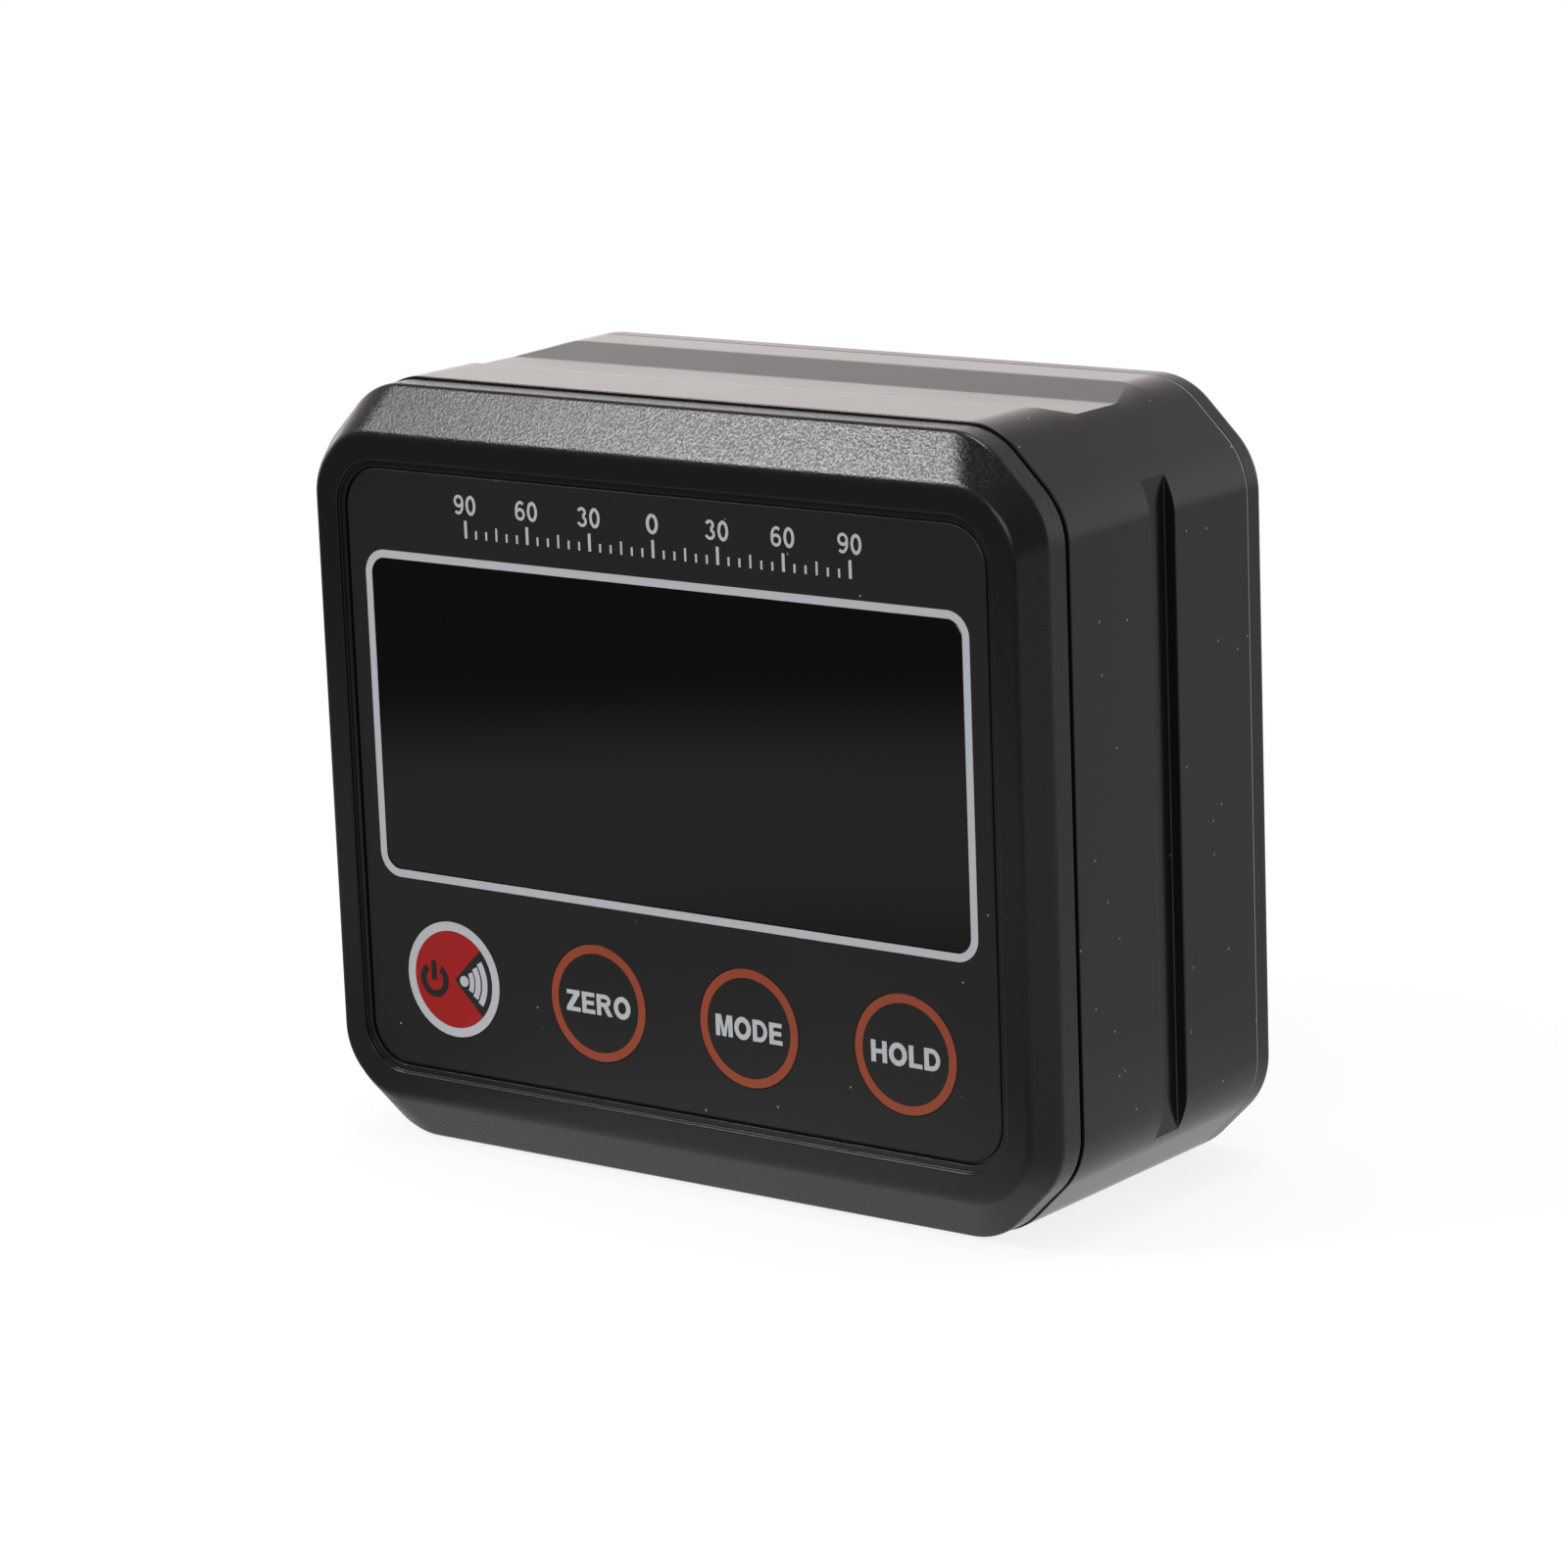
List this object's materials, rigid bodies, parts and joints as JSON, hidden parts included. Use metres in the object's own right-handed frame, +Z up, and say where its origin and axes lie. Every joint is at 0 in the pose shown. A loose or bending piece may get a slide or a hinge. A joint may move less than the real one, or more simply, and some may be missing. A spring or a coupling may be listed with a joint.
{
  "type": "digital angle gauge",
  "caption": "Box-shaped electronic angle gauge with a sloped front bezel, dark display window, round push keys, grooved top, and a rear battery door over cells.",
  "frame": {"origin": "under the middle of the base, on the surface it stands on", "axes": "+X to the right seen from the front, +Y to the rear, +Z up"},
  "size_m": [0.068, 0.032, 0.06],
  "materials": {
    "shell": "fine spark texture",
    "body": "satin moulded",
    "film": "fine matte print film",
    "window": "smoked gloss",
    "lcd": "dark display glass",
    "light_guide": "milky",
    "elastomer": "soft strip",
    "board": "solder mask",
    "chip": "moulded",
    "red_key": "matte print",
    "black_key": "matte print",
    "switch": "moulded",
    "cell": "plain wrap",
    "contact": "nickel plated",
    "magnet": "nickel plated",
    "screw": "zinc plated"
  },
  "bodies": {
    "case": {"front_bezel": "shell", "body_housing": "body", "rear_cover": "shell", "face_overlay": "film", "display_window": "window", "lcd_panel": "lcd", "lcd_backlight": "light_guide", "lcd_contact_strip": "elastomer", "main_board": "board", "tilt_sensor": "chip", "controller_chip": "chip", "sounder": "chip", "power_switch": "switch", "zero_switch": "switch", "mode_switch": "switch", "hold_switch": "switch", "upper_cell": "cell", "lower_cell": "cell", "bridge_contact": "contact", "bridge_spring": "contact", "negative_contact": "contact", "negative_spring": "contact", "positive_contact": "contact", "left_magnet": "magnet", "right_magnet": "magnet", "case_screws": "screw", "board_screws": "screw"},
    "door": {"battery_door": "shell"},
    "power_button": {"power_key": "red_key"},
    "zero_button": {"zero_key": "black_key"},
    "mode_button": {"mode_key": "black_key"},
    "hold_button": {"hold_key": "black_key"}
  },
  "joints": [
    {"name": "door_swing", "type": "hinge", "parent": "case", "child": "door", "pos_m": [0, 0.016, 0.01795], "axis": [-1, 0, 0], "range_deg": [0, 85]},
    {"name": "power_press", "type": "slide", "parent": "case", "child": "power_button", "axis": [0, 1, 0], "range_m": [0, 0.00025], "stiffness_N_per_m": 4800},
    {"name": "zero_press", "type": "slide", "parent": "case", "child": "zero_button", "axis": [0, 1, 0], "range_m": [0, 0.00025], "stiffness_N_per_m": 4800},
    {"name": "mode_press", "type": "slide", "parent": "case", "child": "mode_button", "axis": [0, 1, 0], "range_m": [0, 0.00025], "stiffness_N_per_m": 4800},
    {"name": "hold_press", "type": "slide", "parent": "case", "child": "hold_button", "axis": [0, 1, 0], "range_m": [0, 0.00025], "stiffness_N_per_m": 4800}
  ]
}
